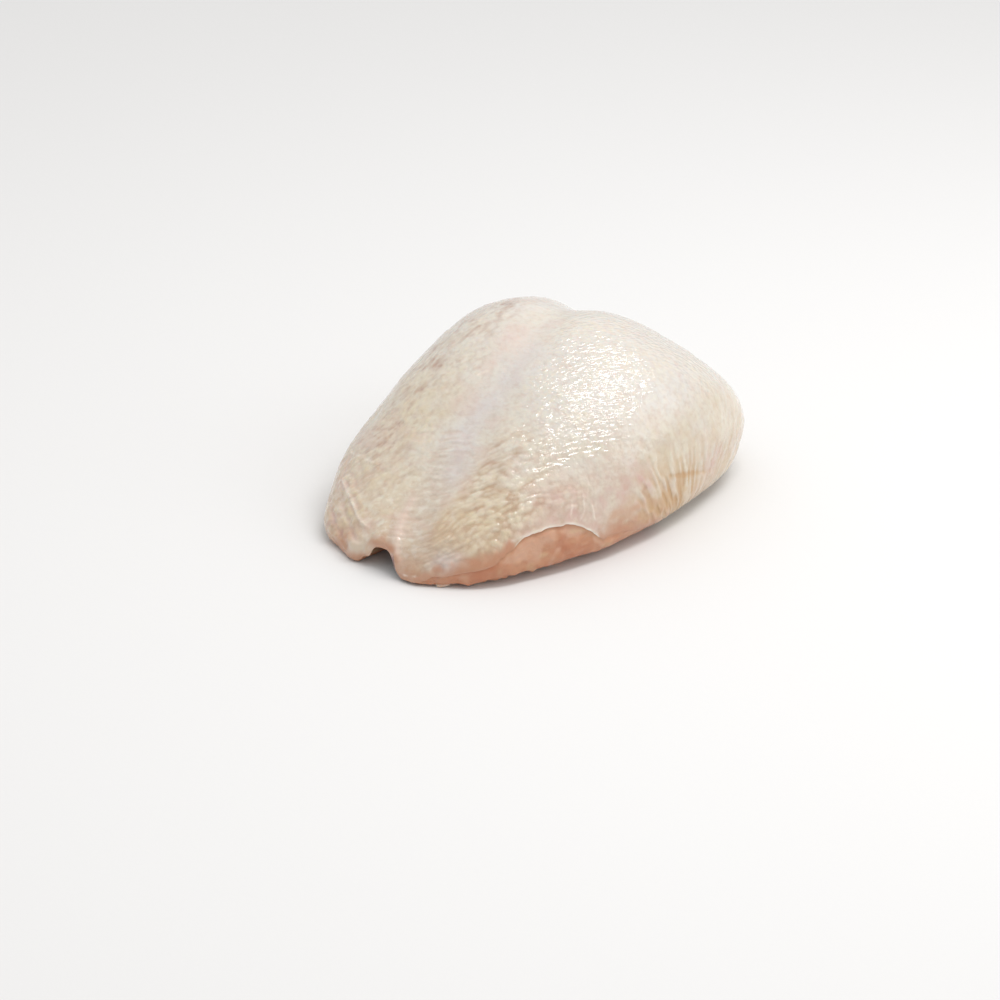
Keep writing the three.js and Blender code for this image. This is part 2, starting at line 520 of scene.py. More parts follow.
FLAP_CREASE = (
    (-73.4, -80, 36.3), (-71.1, -88.8, 31.5), (-67.6, -97.4, 27), (-62, -104.8, 24.1),
    (-51.8, -114.6, 19.8), (-41.3, -123, 15.8), (-33, -129.3, 11.6),
)
FLAP_CREST = (
    (-74.5, -79.5, 35.8), (-65.8, -84.5, 37.8), (-59.6, -87, 38.8), (-48.8, -90.1, 40.1),
)
UPPER_FRILL = (
    (-60.2, -109.1, 21.3), (-50, -117.1, 18.2), (-41.7, -124.4, 14.3), (-34.2, -128.7, 12.2),
)
LOWER_FRILL = (
    (-69.4, -106.4, 17.3), (-59.4, -116.8, 15.1), (-50.6, -123.7, 11.2), (-41.4, -129.4, 6.9),
    (-36.1, -131.7, 2.6),
)
FAN_CREASE = (
    (90.5, 3.9, 37.2), (92, 12.8, 34.6), (93, 22.4, 32.3), (93.6, 37.7, 27), (93.3, 51.2, 24),
)
FACET_EDGE = (
    (-5.3, -131.2, 12.5), (-4, -132, 9.5), (-2.8, -132.7, 6.3), (-0.7, -133.5, 2.9),
    (2.7, -134.4, 0),
)
SEAM = ((-3, -112, 0), (-5, -20, 0), (-10, 60, 0), (-14, 112, 0))
BUNDLES = (
    ((24, -96, 0), (47, -30, 0), (44, 40, 0), (18, 100, 0)),
    ((-28, -92, 0), (-52, -30, 0), (-56, 40, 0), (-40, 92, 0)),
)
THIN_EDGE = (  # top of the thin skin beyond the arch: place along Y, height
    (-50, 26), (-44, 29), (-40, 33), (-34.5, 33), (-21, 31), (-9, 31), (0, 28), (10, 15),
)

# Creases and crests of the skin: points, reach to each side and rise.
FOLDS = (
    (FLAP_CREASE, 1.6, -0.5),
    (TAIL_RIDGE, 4, 0.7),
    (TAIL_RIDGE, 0.9, 1.1),
    (UPPER_FRILL, 1.5, -0.7),
    (LOWER_FRILL, 1.5, -0.8),
    (FLAP_CREST, 0.7, 0.4),
    (FAN_CREASE, 1.2, -0.35),
    (TAIL_STREAK, 2.2, 0.7),
    (FACET_EDGE, 1, 1.6),
    (((3.4, -134.5, 4.1), (7, -134.7, 4.7), (10.6, -134.1, 5.7)), 0.8, 0.5),
    (((15.5, -132.2, 4.6), (12.6, -132.2, 9.9), (8.8, -131.7, 12.9)), 0.9, -0.5),
    (((-17, -35.5, 84.9), (-15.5, -33.7, 85.9), (-13.4, -31.7, 87)), 0.7, 0.5),
    (((70.7, -6.7, 76), (77.1, -4.5, 68.9), (82.8, -2.1, 60.2)), 0.8, 0.16),
    (((75.5, 8.2, 76.1), (83.4, 10.5, 64.9), (89.3, 15.3, 52.1)), 0.8, 0.14),
    (((50.6, -98, 25.8), (55, -91.6, 27.7), (59.9, -84, 29.6), (64, -78, 31.5)), 0.6, 0.35),
    (((50.1, -101.1, 24), (54, -94.9, 28), (57.6, -88.5, 31)), 0.6, 0.3),
    (((70.1, -56.6, 41.7), (72.1, -58.2, 35.4), (72.4, -61.3, 31.5)), 0.7, 0.5),
    (((74.1, -53.1, 36.4), (75.8, -53.2, 30.1), (76.8, -50, 22.6)), 0.7, 0.5),
    (((67.6, -63.8, 38.9), (68.6, -67, 33.5)), 0.7, 0.45),
    (((78.2, -46.6, 31.2), (79.1, -43.2, 23.6)), 0.7, 0.45),
    (((54, -92, 33), (61, -80, 36.5), (68, -69, 37.5)), 1.3, 0.4),
)
# The pale threads along these narrow crests are partly painted glints.
THREAD_REACH = 1  # narrower folds that rise this much are pale threads of skin
THREAD_RISE = 0.3

# Patches: middle, spread, and in a table how strong or how high each one is.
TIP_LUMPS = (
    ((-33.5, -130, 10), 3.8, 2),
    ((-33, -132, 3.5), 3.6, 1.3),
    ((-25.5, -129.5, 13), 3, 1.3),
    ((-39, -127, 11), 3, 1.1),
    ((-1.5, -129, 5), 5, 2),
)
BLUSHES = (
    ((62, -68, 42), 13, 0.5),
    ((76, -48, 38), 14, 0.8),
    ((84, -27, 38), 15, 0.8),
    ((86, -16, 38), 6, 0.8),
    ((93, 49, 31), 10, 1.3),
    ((-71, -92, 24), 16, 0.5),
)
FATS = (
    ((28, -106, 32), 36, 0.35),
    ((-45, -95, 38), 24, 0.35),
    ((-46, -58, 66), 26, 0.5),
    ((-45, -119, 18), 6, 0.6),
)
# Painted warm shade low on the right, near the table.
GOLDS = (((92, 17, 15), 14, 0.3), ((90, -4, 23), 8, 0.6))
# Patches of painted shade on the tail.
SHADES = (((19, -118, 25), 14, 0.75), ((-12, -117, 25), 7, 0.3))
TIPS = (((-32, -131, 8), 6.5, 1), ((-24, -129.5, 10), 5, 0.8), ((-45, -119.5, 17.5), 5, 0.6))
PEACH = ((-10, -6.9, 98.3), 13)
SMOOTH = ((80, 17, 71), 26)
HIGH_SPOTS = ((-29, 32, 102), 19)
NOT_GOLD = ((93, 49, 31), 12)
TAIL_THREADS = ((30, -122, 14), 11)
TAIL_LAVENDER = ((24, -125, 14), 9)
# Painted shade: dims the pale tops of the bumps at the tail.
TAIL_DARK = ((12, -118, 25), 16)
RIGHT_FACET = ((6, -133, 6), 9)
LEFT_FACET = ((-44, -128, 7), 9)
FLAP_LUMPS = ((-45, -122, 11), 15)
FLAP_SWELLS = ((-50, -122, 8), 17)
FLAP_CURLS = ((-53, -122, 3), 13)
NUB = ((-23.5, -129, 10.5), 4.4)  # fat that hangs down into the mouth of the hollow
NUB_DROP = (0.8, -1.2, -3.8)

# The fan of ridges low on the right: where they meet, the way up the flank, and the distance from
# there at which they lie as far apart as stated.
FAN_FOOT = (92, 25, -30)
FAN_UP = (-0.5, 0, 0.87)
FAN_REACH = 60
ROUND_REACH = 110  # the same for the puckers round the edge of the skin

BUMP_WIDTH = 0.36  # of the lattice's spacing
BUMP_LEAST = 0.45  # height of the flattest bump, and how much luck can add
BUMP_LUCK = 0.75
WAVE_LENGTH = 1.5  # of the bends in a row of ridges, in ridge lengths and widths, and how far it
WAVE_WIDTH = 5  # bends in ridge widths
WAVE_SWING = 0.9
PUFF_SHARPNESS = 2.6  # of the creases beside a flat swell


def near(p, line, width):
    """Mask that is 1 on a line and fades over width."""
    return bell(line_distance(p, line), width)


def patch(p, middle, spread):
    """Mask that is 1 at a place and fades over spread."""
    return bell(np.linalg.norm(p - np.asarray(middle), axis=1), spread)


def patches(p, table):
    """Sum of the patches in a table."""
    return sum(strength * patch(p, middle, spread) for middle, spread, strength in table)


def rows(across, lengthwise, degrees):
    """Coordinates along and across rows turned by those degrees from across the keel."""
    cos, sin = np.cos(np.radians(degrees)), np.sin(np.radians(degrees))
    return across * cos + lengthwise * sin, lengthwise * cos - across * sin


def bumps(u, v, length, width, jitter, seed):
    """Soft follicle bumps in loose rows, from 0 to 1, that merge a little along each row."""
    nearest, luck = dimples(u / length, v / width, jitter, seed)
    return bell(nearest, BUMP_WIDTH) * (BUMP_LEAST + BUMP_LUCK * luck)


def wrinkles(u, v, length, width, seed):
    """Wavy ridges along the rows, from -1 to 1."""
    bend = plane_noise(u, v, (length * WAVE_LENGTH, width * WAVE_WIDTH), seed + 1)
    return plane_noise(u, v + WAVE_SWING * width * bend, (length, width), seed)


def billows(u, v, length, width, seed):
    """Puffy swells along the rows, from 0 in the creases between them to 1."""
    return np.tanh(PUFF_SHARPNESS * np.abs(wrinkles(u, v, length, width, seed)))


def skin_detail(p, across, lengthwise, azimuth, to_rim, tucked):
    """Relief of the skin along its normal, and the masks that its material mixes colours by."""
    x, y, z = p.T
    right = ramp(across, 5, 24 - 9 * ramp(-y, 70, 110))
    left = ramp(-across, 7, 24)
    keel = fade(line_distance(p, KEEL) + 3 * noise(p, 16, 2), 8, 20)
    smooth = patch(p, *SMOOTH)
    fan_share = ramp(x, 70, 88) * between(y, -52, 2, 95, 125) * fade(z, 56, 80)
    tail = ramp(-y, 36, 88)
    a = across + 1.9 * noise(p, 13, 3)
    b = lengthwise + 1.9 * noise(p, 13, 4)
    patchy = 0.6 + 0.55 * noise(p, 11, 5)

    # Bumps in rows: along the right lobe, steeper near the tail, nearly lengthwise on the left.
    top_rows = rows(a, b, 34)
    tail_rows = rows(a - 40, b + 125, 50 + 14 * ramp(-b, 105, 150))
    left_rows = rows(a + 45, b + 80, 70 - 26 * ramp(-b, 60, 120))
    keel_rows = rows(a, b, 24)
    top_bumps = bumps(*top_rows, 4.6, 3, 0.6, 21)
    tail_bumps = bumps(*tail_rows, 6, 2.5, 0.7, 24)
    left_bumps = bumps(*left_rows, 4, 3.3, 0.7, 31) * left
    plain = (1 - 0.8 * smooth) * (1 - 0.6 * fan_share) * (1 - keel)
    right_bumps = top_bumps * (1 - tail) + tail_bumps * tail * (1.1 + 0.35 * ramp(-b, 115, 145))
    right_bumps = right_bumps * right
    dome = (right_bumps * (1 - tail) + left_bumps) * plain * patchy
    rise = (0.2 + 0.3 * tail) * right_bumps + (0.36 + 0.2 * tail) * left_bumps
    rise = rise * plain * patchy

    # Puffy skin with creases between the swells, finer on top of the right lobe.
    top_puffs = billows(*top_rows, 3.6, 1.9, 41)
    scales = wrinkles(*tail_rows, 8, 1.7, 61)
    left_puffs = billows(*left_rows, 4.4, 3, 67)
    left_ridges = wrinkles(*left_rows, 14, 1.7, 42) * ramp(-x, 25, 62)
    keel_ridges = wrinkles(*keel_rows, 7, 1.4, 48) * keel * (0.3 + 0.7 * tail)
    rise += (0.1 * top_puffs * (1 - tail) + 0.3 * scales * tail) * right * plain
    rise += (0.15 * left_puffs + 0.2 * left_ridges) * left + 0.22 * keel_ridges

    # The fan of ridges low on the right.
    arm = p - FAN_FOOT
    up = arm @ np.array(FAN_UP)
    out = np.hypot(up, arm[:, 1])
    aside = (np.arctan2(arm[:, 1], up) + 0.05 * noise(p, 20, 49)) * FAN_REACH
    rays = 0.5 + 0.5 * np.tanh(3 * plane_noise(aside, out, (1.8, 9), 43))
    beads = bumps(out, aside, 5.5, 3.2, 0.6, 66)
    strength = fan_share * ramp(z, 3, 14) * (1.35 - 0.95 * ramp(z, 25, 60))
    strength = strength * (1 - 0.5 * ramp(y, 10, 60))
    rise += (0.6 * rays + 0.15 * beads) * strength

    # Frills and lumps of the left tail flap, threads at the tail, puckers where the skin tucks in.
    ruffle = line_distance(p, TAIL_RIDGE) + 2.5 * noise(p, 10, 44)
    frill = plane_noise(ruffle, lengthwise, (3.1, 22), 50) * fade(ruffle, 12, 30)
    frill = frill * ramp(-x, 22, 38) * ramp(-y, 70, 92)
    lumpy = patch(p, *FLAP_LUMPS) * noise(p, (3, 3, 2.2), 86)
    threads = wrinkles(*rows(a, b, 62), 9, 1.1, 81) * patch(p, *TAIL_THREADS)
    pucker = plane_noise(azimuth * ROUND_REACH, to_rim, (4.5, 26), 45)
    pucker = pucker * fade(to_rim, 6, 38) * tucked
    rise += 0.3 * frill + 0.5 * lumpy + 0.25 * threads + 0.6 * pucker
    rise += 0.9 * patch(p, *FLAP_SWELLS) * noise(p, (5, 5, 3.5), 85)

    # Slow swells, the lumps at the tail and the folds.
    rise += 0.6 * noise(p, 24, 46) + 0.25 * noise(p, 8, 47) + patches(p, TIP_LUMPS)
    for line, reach, height in FOLDS:
        rise += height * np.exp(-line_distance(p, line) / reach)

    # Pink where the meat shows through, bluish and warm streaks.
    blush = patches(p, BLUSHES) * (0.6 + 0.6 * noise(p, (5, 5, 9), 52)) + 0.35 * pucker
    blush += 0.3 * ramp(noise(p, 15, 51), 0.1, 0.7) * (1 - 0.8 * right * ramp(z, 42, 62))
    blush += 0.35 * np.clip(-frill, 0, 1) + 0.7 * np.clip(-lumpy, 0, 1)
    blush += 0.3 * near(p, FLAP_CREASE, 1.6) + 0.3 * near(p, UPPER_FRILL, 1.3)
    blush += 0.5 * near(p, LOWER_FRILL, 1.5)
    arch = between(y, -112, -92, -52, -40) * ramp(x, 25, 45)
    blush += 0.7 * arch * fade(to_rim, 1, 17) * (0.75 + 0.5 * noise(p, 5, 53))
    lavender_and_rim_reflection = 0.28 * near(p, LAVENDER_STREAK, 8) + 0.14 * keel + 0.5 * patch(p, *TAIL_LAVENDER)
    # Painted reflection: bluish along the far left rim, high on the side.
    lavender_and_rim_reflection += 0.3 * ramp(-across, 88, 110) * ramp(z, 20, 50)
    peach = 0.36 * patch(p, *PEACH) + 0.65 * near(p, TAIL_STREAK, 3)
    red = 0.3 * near(p, TAIL_RED_STREAK, 2) + 0.7 * near(p, RED_HAIRLINE, 1.3)

    # Yellow fat, and the pale tops of the bumps: own cream and painted light, dimmed at the tail.
    tail_plain = tail * right * plain
    fat = patches(p, FATS) + 0.25 * fan_share + 0.3 * dome + 0.3 * tail_bumps * tail_plain
    fat += 0.8 * np.clip(lumpy, 0, 1) + 0.4 * np.clip(frill, 0, 1)
    dome += (0.45 * tail_bumps + 0.3 * ramp(scales, 0.1, 0.6)) * tail_plain
    dome = (dome + 0.6 * np.clip(threads, 0, 1)) * (1 - 0.6 * patch(p, *TAIL_DARK))

    # Brownish skin between the bumps and ridges, darkened with painted shade, most at the tail.
    shade = 0.6 * ramp(0.3 - tail_bumps, 0, 0.25) * patchy + 0.45 * ramp(-scales, 0.1, 0.6)
    shade += 0.35 * fade(z, 20, 60) + 0.65 * ramp(plane_noise(*tail_rows, (10, 4.5), 63), 0, 0.6)
    shade = shade * tail_plain
    shade += 0.3 * (1 - tail) * (1 - top_puffs) * fade(z, 60, 85) * right * plain
    shade += 0.3 * tail * keel * ramp(plane_noise(*keel_rows, (9, 2.5), 65), -0.1, 0.5)
    shade += 0.3 * ramp(-keel_ridges, 0.1, 0.6) + patches(p, SHADES)
    low_fan = fade(z, 30, 62)
    shade += 0.6 * (1 - rays) * strength * (1 - low_fan)
    # Yellow-brown painted shade in the fan's low creases and along its crease, over yellow fat.
    gold = 0.7 * (1 - rays) * strength * low_fan + 0.6 * near(p, FAN_CREASE, 1.5)
    gold = gold * (1 - patch(p, *NOT_GOLD)) + patches(p, GOLDS)
    gold += 0.2 * fan_share * ramp(noise(p, (4, 6, 4), 82), 0.3, 0.8)

    # Brown feather pits on the left and in a band beside the keel, and painted shade in creases.
    nearest, luck = dimples(left_rows[0] / 3.8, left_rows[1] / 3.3, 0.9, 61)
    spots = 0.5 * ramp(plane_noise(*left_rows, (5.5, 3), 68), -0.1, 0.6) + 0.25 * (1 - left_puffs)
    spots += 0.5 * bell(nearest, 0.35) * luck
    band = near(p, SPOT_BAND, 15) * (0.8 + 0.4 * noise(p, 13, 69))
    spots *= (0.5 * left + 0.85 * band + 0.7 * patch(p, *HIGH_SPOTS)) * (1 - keel)

    # Thin skin beyond the arch, the mouth of the hollow, and pale threads with painted glints.
    thin_top = np.interp(y, *np.transpose(THIN_EDGE)) + 2.5 * noise(p, 7, 70)
    thin = between(y, -52, -38, 2, 12) * ramp(x, 40, 60) * fade(z, thin_top - 5, thin_top + 1)
    edge_x, _, edge_z = np.transpose(FACET_EDGE[::-1])
    past_facet = x - np.interp(z, edge_z, edge_x)
    # The side of the hollow's mouth and the flap's curls: pink skin darkened with painted shade.
    wall = ramp(-past_facet, -0.2, 0.8) * ramp(x, -20, -14) * fade(z, 11, 14) * fade(y, -122, -112)
    wall += 0.6 * patch(p, *FLAP_CURLS) * ramp(noise(p, (4, 4, 3), 84), -0.1, 0.5)
    threadlike = [fold[0] for fold in FOLDS if fold[1] < THREAD_REACH and fold[2] >= THREAD_RISE]
    thread_and_glint = sum(near(p, line, 0.65) for line in threadlike)
    # Painted glint along the sharp crest of the tail ridge.
    ridge_glint = 0.25 * near(p, TAIL_RIDGE, 0.6) * ramp(-x, 36, 44)
    masks = dict(dome=dome, shade=shade, lavender_and_rim_reflection=lavender_and_rim_reflection, peach=peach, red=red, blush=blush)
    masks.update(fat=fat, spots=spots, wall=wall, gold=gold, tip=patches(p, TIPS))
    return rise, masks | {
        "thin": thin * (0.85 + 0.4 * noise(p, (6, 6, 3), 71)),
        "facet": patch(p, *RIGHT_FACET) * ramp(past_facet, -0.3, 0.4) + 1.3 * patch(p, *LEFT_FACET),
        "mottle": 0.4 + 0.3 * tail,
        "milky": 0.7 * right * (1 - tail) * ramp(z, 50, 85) * (1 - 0.5 * fan_share),
        # Pale threads, with painted glints along the narrow crests.
        "thread_and_glint": thread_and_glint * (0.3 + 0.5 * noise(p, 4, 83)) + ridge_glint,
        # Painted warm light from below and painted shade, low on the sides and more at the tail.
        "low": fade(z, 6, 62) * (0.75 + 0.6 * tail),
        "fine": right * (1 - 0.8 * smooth) * (1 - fan_share) * ramp(z, 46, 70),
    }


# --- pieces


SKIN_SPACING = 1.08
THIN_LIP = 0.4
ARCH_LIP = 0.9
LIP_ROWS = 5
LINING_SPACING = 6
LINING_DEPTH = 4.4
EDGE_LIFT = 3
SKIN_LOWEST = 0.03
UP = np.array((0.0, 0, 1))


def lift_edge(p, past_contact):
    """Raises the lower edge a little, most on the right, so that a dark gap shows below it."""
    x, y, z = p.T
    share = np.where(past_contact > 0, bell(past_contact, 11), fade(z, 0, 9))
    place = 0.35 + 0.65 * ramp(x, 20, 50) * between(y, -125, -95, 60, 100)
    torn = ramp(x, 15, 30) * fade(y, -75, -60)
    flat = p * (1, 1, 0)
    ragged = 0.8 + 0.5 * noise(flat, 14, 90) + (0.2 + 0.4 * torn) * noise(flat, 2.6, 91)
    p[:, 2] = z + EDGE_LIFT * share * place * ragged


def lip_thickness(p):
    """Thickness of the skin where it ends: full along the arch low on the right, thin elsewhere."""
    arch = ramp(p[:, 0], 20, 35) * between(p[:, 1], -101, -92, -57, -47)
    return THIN_LIP + (ARCH_LIP - THIN_LIP) * arch


def build_skin(chart, spread):
    """Points, faces and masks of the skin: the outside, its rounded lip and a closing lining."""
    outside = Laid(chart, shares(chart.rim.max(), SKIN_SPACING) * chart.rim, SKIN_SPACING)
    p, azimuth, to_rim = outside.points, outside.azimuth, -outside.past_rim
    across, lengthwise = spread.at(outside.directions)
    tucked = ramp(-skin_edge(p), 0, 5)
    rise, masks = skin_detail(p, across, lengthwise, azimuth, to_rim, tucked)
    lip = lip_thickness(p)
    flare = (lip - THIN_LIP) * bell(to_rim - 1, 1.4)
    rise = rise * (1 - 0.6 * fade(to_rim, 0, 7)) + 0.5 * flare
    p = p + outside.normals * rise[:, None] + patch(p, *NUB)[:, None] * NUB_DROP
    lift_edge(p, outside.past_contact)
    p[:, 2] = np.maximum(p[:, 2], SKIN_LOWEST)

    # Meat shows through along the edge, but for the arch, and the edge of the arch is pale.
    faded = between(p[:, 1], -124, -116, -100, -93) * ramp(p[:, 0], 15, 30)
    edge = fade(to_rim + 3 * noise(p, 4, 55), 3 * faded, 10 + 3 * faded) * fade(lip, 0.42, 0.7)
    masks["edge"] = edge * (1 - 0.8 * patch(p, *NUB)) * (1 - np.clip(masks["wall"], 0, 1))
    # The arch's edge is pale, partly its own cream and partly a painted highlight.
    masks["lip"] = ramp(lip, 0.45, 0.8) * bell(to_rim, 1) * (0.6 + 0.8 * noise(p, 4.5, 54))

    # The lip turns from the outside to the inside.
    last = outside.azimuths[-1]
    end = slice(-len(last), None)
    inner_row = chart.points(outside.distance[end] - 1, last)
    onward = unit(outside.points[end] - inner_row)
    half = lip[end, None] / 2
    points = [p]
    for k in range(1, LIP_ROWS + 1):
        angle = math.pi * k / LIP_ROWS
        row = p[end] - outside.normals[end] * half * (1 - math.cos(angle))
        row += onward * half * math.sin(angle)
        row[:, 2] = np.maximum(row[:, 2], SKIN_LOWEST)
        points.append(row)
    for name, values in masks.items():
        masks[name] = np.concatenate([values, np.tile(values[end], LIP_ROWS)])

    # The lining lies in the meat.
    lining_rows = (1 - shares(chart.rim.max(), LINING_SPACING)[:-1]) * chart.rim
    lining = Laid(chart, lining_rows, LINING_SPACING)
    rim_lip = np.interp(lining.azimuth, last, lip[end], period=TURN)
    depth = rim_lip + (LINING_DEPTH - rim_lip) * ramp(-lining.past_rim, 0, 14)
    inside = lining.points - lining.normals * depth[:, None]
    lift_edge(inside, lining.past_contact)
    top = chart.ends()[0]
    points += [inside, [top + UP * rise[0]], [top - UP * LINING_DEPTH]]
    points = np.concatenate(points)

    rings = outside.azimuths + [last] * LIP_ROWS + lining.azimuths
    centre = len(points) - 2
    outer_top = fan(centre, 0, len(rings[0]))
    inner_top = fan(centre + 1, centre - len(rings[-1]), len(rings[-1]))[:, ::-1]
    faces = np.concatenate([sheet_of(rings), outer_top, inner_top])
    return points, faces, whole_masks(masks, len(points), centre)


MEAT_SPACING = 1.15
MEAT_ABOVE_RIM = 13
MEAT_TOP_SPACING = 7
MEAT_DEPTH = 2.4


def build_meat(chart):
    """Points, faces and masks of the meat: the cut side, the bare strip and what skin covers."""
    high = chart.rim - MEAT_ABOVE_RIM
    cup = chart.whole - high
    cup_rows = chart.whole - shares(cup.max(), MEAT_SPACING) * cup
    top_rows = (1 - shares(high.max(), MEAT_TOP_SPACING)[:-1]) * high
    lower = Laid(chart, cup_rows, MEAT_SPACING)
    upper = Laid(chart, top_rows, MEAT_TOP_SPACING)

    p, past_rim = lower.points, lower.past_rim
    x, y, z = p.T
    underneath = ramp(lower.past_contact, -1, 3)
    bare = ramp(past_rim, 0.5, 4)
    side = bare * (1 - underneath)
    lip = lip_thickness(p)
    depth = lip + (MEAT_DEPTH - lip) * fade(past_rim, -9, -2)
    depth = depth * (1 - underneath * ramp(past_rim, 1, 5))
    grain = noise(p, (1.7, 30, 1.7), 71)
    lumps = noise(p, 13, 72)
    relief = 0.16 * grain + 0.7 * lumps + 0.4 * noise(p, 5, 73) + 0.3 * billows(y, z, 7, 3, 76)
    flat = p * (1, 1, 0)
    seam = near(flat, SEAM, 4)
    bundle = sum(near(flat, line, 3) for line in BUNDLES)
    under = np.maximum(0, 0.5 + 0.6 * lumps + 0.25 * grain) + 2.6 * seam + 2 * bundle
    under = under * bare * underneath * ramp(lower.past_contact, 2, 9)
    lower_points = p - lower.normals * (depth - relief * side + under)[:, None]
    lift_edge(lower_points, lower.past_contact)
    lower_points[:, 2] = np.maximum(lower_points[:, 2], 0)
    film = 0.6 * noise(p, 9, 74) + 0.5 * noise(p, 4, 77) + 0.5 * ramp(z, 8, 24)
    masks = {
        # Painted shade: near black deep in the hollow.
        "hollow": fade(np.abs(x - HOLLOW_X), 8, 19) * fade(y, -118, -60),
        "grain": 0.5 + 0.5 * grain,
        "seam": np.clip(seam + bundle, 0, 1) * underneath,
        "film": side * ramp(film, 0.05, 0.6),
        "fat": bare * ramp(noise(p, (5, 11, 5), 75), 0.3, 0.8),
        "low": side * fade(z, 3, 16),
    }

    rings = lower.azimuths + upper.azimuths
    top, bottom = chart.ends()
    upper_points = upper.points - upper.normals * MEAT_DEPTH
    points = np.concatenate([lower_points, upper_points, [bottom], [top - UP * MEAT_DEPTH]])
    last = len(points) - 1
    below = fan(last - 1, 0, len(rings[0]))[:, ::-1]
    above = fan(last, last - 1 - len(rings[-1]), len(rings[-1]))
    faces = np.concatenate([sheet_of(rings)[:, ::-1], below, above])
    return points, faces, whole_masks(masks, len(points), last - 1)


# Tags of fat and meat where the piece meets the table: place near the edge, three radii, fattiness.
EDGE_TAGS = (
    ((24, -127), (4, 1.6, 1.2), 0.6),
    ((41, -114), (6, 2, 1.3), 0.45),
    ((49, -104), (4.2, 2.2, 1.9), 0.15),
    ((63, -82), (3, 1.4, 1.1), 0.3),
    ((66, -77), (2.2, 1.1, 0.9), 0.7),
    ((70, -70), (3.6, 1.3, 0.9), 0.3),
)
TAG_DETAIL = 5
TAG_OUT = 0.1  # outward, as a share of the radius across the edge
TAG_UP = 0.5
TAG_LOWEST = 0.02


def build_trimmings(chart):
    """Points, faces and masks of the small tags of fat and meat along the lower edge."""
    ball = bmesh.new()
    bmesh.ops.create_icosphere(ball, subdivisions=TAG_DETAIL, radius=1)
    ball_points = np.array([v.co for v in ball.verts])
    ball_faces = np.array([[v.index for v in f.verts] for f in ball.faces])
    ball.free()
    edge = chart.points(chart.contact, chart.azimuth)
    points, faces, fatty, low = [], [], [], []
    for k, (place, radii, fat) in enumerate(EDGE_TAGS):
        at = np.argmin(np.linalg.norm(edge[:, :2] - place, axis=1))
        cos, sin = unit((edge[(at + 3) % len(edge)] - edge[at - 3])[:2])
        middle = edge[at] + np.array((sin, -cos, 0)) * radii[1] * TAG_OUT + UP * (radii[2] + TAG_UP)
        shape = 1 + 0.5 * noise(ball_points, 0.7, 80 + k) + 0.12 * noise(ball_points, 0.25, 100 + k)
        p = ball_points * shape[:, None] * radii
        p = p @ np.array(((cos, sin, 0), (-sin, cos, 0), (0, 0, 1))) + middle
        p[:, 2] = np.maximum(p[:, 2], TAG_LOWEST)
        points.append(p)
        faces.append(ball_faces + len(ball_points) * k)
        fatty.append(fat + 0.3 * noise(p, 3, 120))
        low.append(fade(p[:, 2], 0, 3))
    masks = {"fat": np.concatenate(fatty), "low": np.concatenate(low)}
    return np.concatenate(points), np.concatenate(faces), masks


# --- materials


# Layers of colour from the ground up: mask, share, colour. Where the share is a row of numbers,
# noise breaks the layer up: waves per metre, detail, the noise values between which the share
# changes, the share at each of them, and the stretch.
SKIN_LAYERS = (
    ("", (60, 3, 0.35, 0.65, 0, 1), "veil"),
    ("milky", 1, "milk"),
    # Painted warm light from below and painted shade, low down.
    ("low", 0.75, "warm_bounce_and_shade"),
    ("", (330, 3, 0.45, 0.7, 0, 0.28), "shade"),
    ("mottle", (240, 3, 0.48, 0.62, 0, 1), "dome"),
    ("mottle", (170, 3, 0.5, 0.66, 0, 0.5, (1.6, 1, 1)), "blush"),
    # Mostly painted shade between the bumps and low at the tail.
    ("shade", 0.9, "shade"),
    # Pale tops of the bumps, partly their own cream and partly painted light.
    ("dome", 0.7, "dome"),
    ("fat", (150, 3, 0.3, 0.6, 0.35, 0.9), "fat"),
    # Bluish skin over the keel, and a painted reflection along the far left rim.
    ("lavender_and_rim_reflection", 1, "lavender_and_rim_reflection"),
    ("peach", 1, "peach"),
    ("blush", (230, 4, 0.3, 0.62, 0.4, 1), "blush"),
    ("spots", (110, 2, 0.35, 0.6, 0.2, 0.8), "spot"),
    ("red", 1, "spot"),
    ("thin", 0.85, "film"),
    ("facet", 0.8, "film"),
    # Pink skin darkened with painted shade.
    ("wall", 0.9, "wall"),
    ("tip", 0.8, "tip"),
    # Painted shade in the creases low on the right, over yellowish fat.
    ("gold", 0.9, "gold"),
    ("edge", 0.9, "meat"),
    # Pale threads with painted glints.
    ("thread_and_glint", 1, "lip"),
    # Pale edge of the skin with a painted highlight.
    ("lip", 1, "lip"),
)
MEAT_LAYERS = (
    ("grain", 1, "meat_pale"),
    ("", (45, 3, 0.4, 0.7, 0, 1), "meat_rosy"),
    ("film", 0.75, "meat_veil"),
    ("fat", 0.4, "fat"),
    ("seam", 1, "lip"),
    ("low", 0.5, "meat_rosy"),
    # Painted shade deep in the hollow.
    ("hollow", 1, "hollow"),
)
TRIMMINGS_LAYERS = (
    ("fat", 1, "lip"),
    ("low", 0.6, "meat"),
    ("", (300, 3, 0.45, 0.75, 0, 0.6), "meat_pale"),
)
WATER_IOR = 1.33
FILM_IOR = 1.78  # of the wet film on top, for glints as bright as in the photo
FLESH_RADIUS = (1, 0.5, 0.35)  # how far red, green and blue light go in, for each other
ROUGHNESS_SWING = 0.05
MIX_SHARE, MIX_A, MIX_B, MIX_RESULT = 0, 6, 7, 2  # the colour sockets of a mix node


def linear(red, green, blue):
    """Colour for Blender from the 0 to 255 values that a paint program shows."""
    values = (red / 255, green / 255, blue / 255)
    return tuple(v / 12.92 if v <= 0.04045 else ((v + 0.055) / 1.055) ** 2.4 for v in values)


def fill(tree, node, inputs):
    """Links or sets inputs of a node, by name or number, and gives the node back."""
    for key, value in dict(inputs).items():
        if isinstance(value, bpy.types.NodeSocket):
            tree.links.new(value, node.inputs[key])
        else:
            node.inputs[key].default_value = value
    return node


